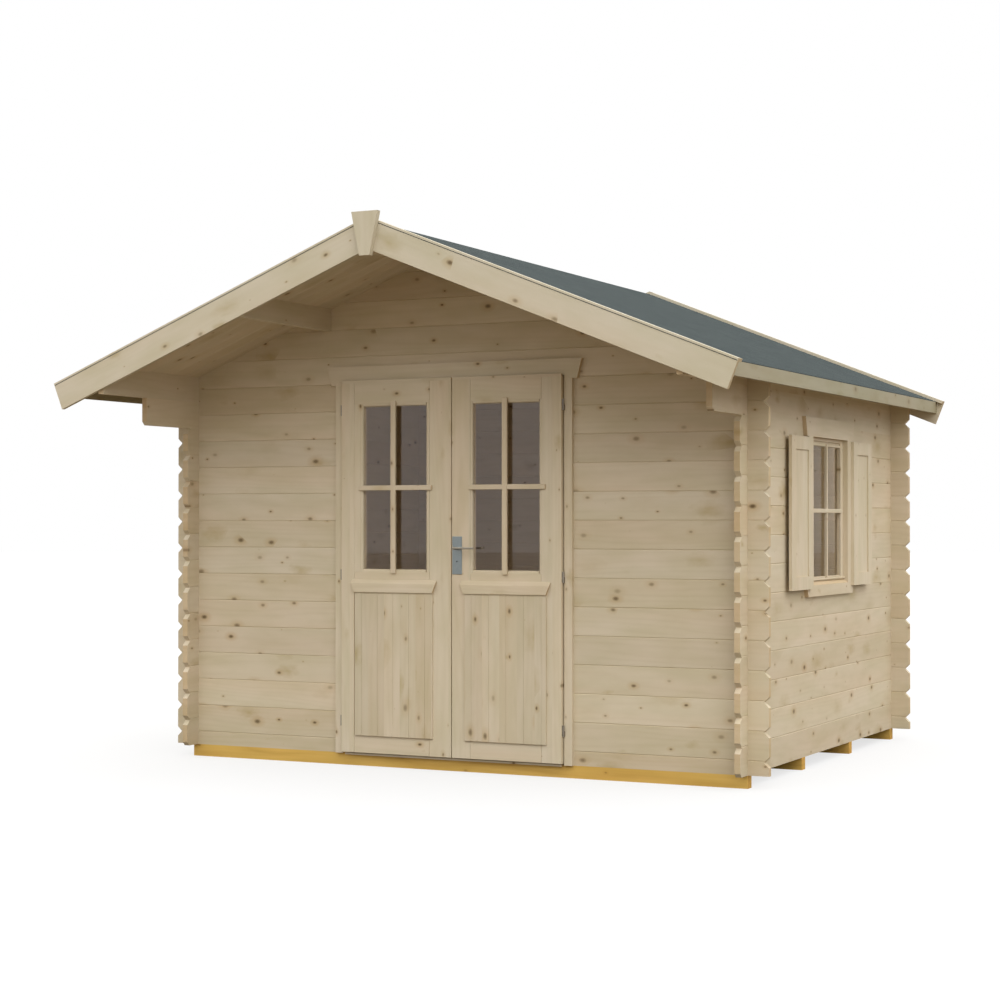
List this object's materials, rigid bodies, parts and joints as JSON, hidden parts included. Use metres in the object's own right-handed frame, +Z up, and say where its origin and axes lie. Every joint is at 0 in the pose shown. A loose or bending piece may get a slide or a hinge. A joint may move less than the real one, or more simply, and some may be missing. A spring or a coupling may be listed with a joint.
{
  "type": "garden log cabin",
  "caption": "Garden log cabin with interlocking log walls, a deep front roof overhang, hinged half-glazed double doors and a shuttered side window.",
  "frame": {"origin": "on the ground under the bearers, in the middle of the whole footprint of the roof", "axes": "+Z up, +X to the right along the front wall as seen from outside, +Y from the front doors to the rear wall"},
  "size_m": [3.505, 3.408, 2.5887],
  "materials": {
    "spruce": "planed, untreated",
    "treated_wood": "sawn, pressure treated",
    "felt": "mineral grit",
    "glass": "clear",
    "handle_metal": "satin",
    "hinge_steel": "zinc plated"
  },
  "bodies": {
    "building": {"bargeboard_front_left": "spruce", "bargeboard_front_right": "spruce", "bargeboard_rear_left": "spruce", "bargeboard_rear_right": "spruce", "bearers": "treated_wood", "corbel_log_left": "spruce", "corbel_log_right": "spruce", "door_head": "spruce", "door_header": "spruce", "door_jamb_left": "spruce", "door_jamb_right": "spruce", "door_threshold": "spruce", "fascia_left": "spruce", "fascia_right": "spruce", "floor": "spruce", "front_gable": "spruce", "front_wall_left": "spruce", "front_wall_right": "spruce", "hinge_pins": "hinge_steel", "keystone": "spruce", "left_wall": "spruce", "purlin_left": "spruce", "purlin_right": "spruce", "rear_wall": "spruce", "ridge_purlin": "spruce", "right_wall": "spruce", "roof_boards_left": "spruce", "roof_boards_right": "spruce", "roof_felt_left": "felt", "roof_felt_right": "felt", "shutters": "spruce", "top_log_left": "spruce", "top_log_right": "spruce", "window_frame": "spruce", "window_glass": "glass", "window_sash": "spruce", "window_trim": "spruce"},
    "door_left": {"door_left_leaf": "spruce", "door_left_glass": "glass", "door_left_hinges": "hinge_steel"},
    "door_right": {"door_right_leaf": "spruce", "door_right_glass": "glass", "door_right_hinges": "hinge_steel", "handle_plates": "handle_metal"},
    "handle": {"handle_lever": "handle_metal"}
  },
  "joints": [
    {"name": "door_left", "type": "hinge", "parent": "building", "child": "door_left", "pos_m": [-0.602, -0.886, 0], "axis": [0, 0, -1], "range_deg": [0, 120]},
    {"name": "door_right", "type": "hinge", "parent": "building", "child": "door_right", "pos_m": [0.602, -0.886, 0], "axis": [0, 0, 1], "range_deg": [0, 120]},
    {"name": "handle", "type": "hinge", "parent": "door_right", "child": "handle", "pos_m": [0.048, -0.876, 1.075], "axis": [0, 1, 0], "range_deg": [0, 40], "stiffness_Nm_per_rad": 0.6, "springref_deg": -22.92}
  ]
}
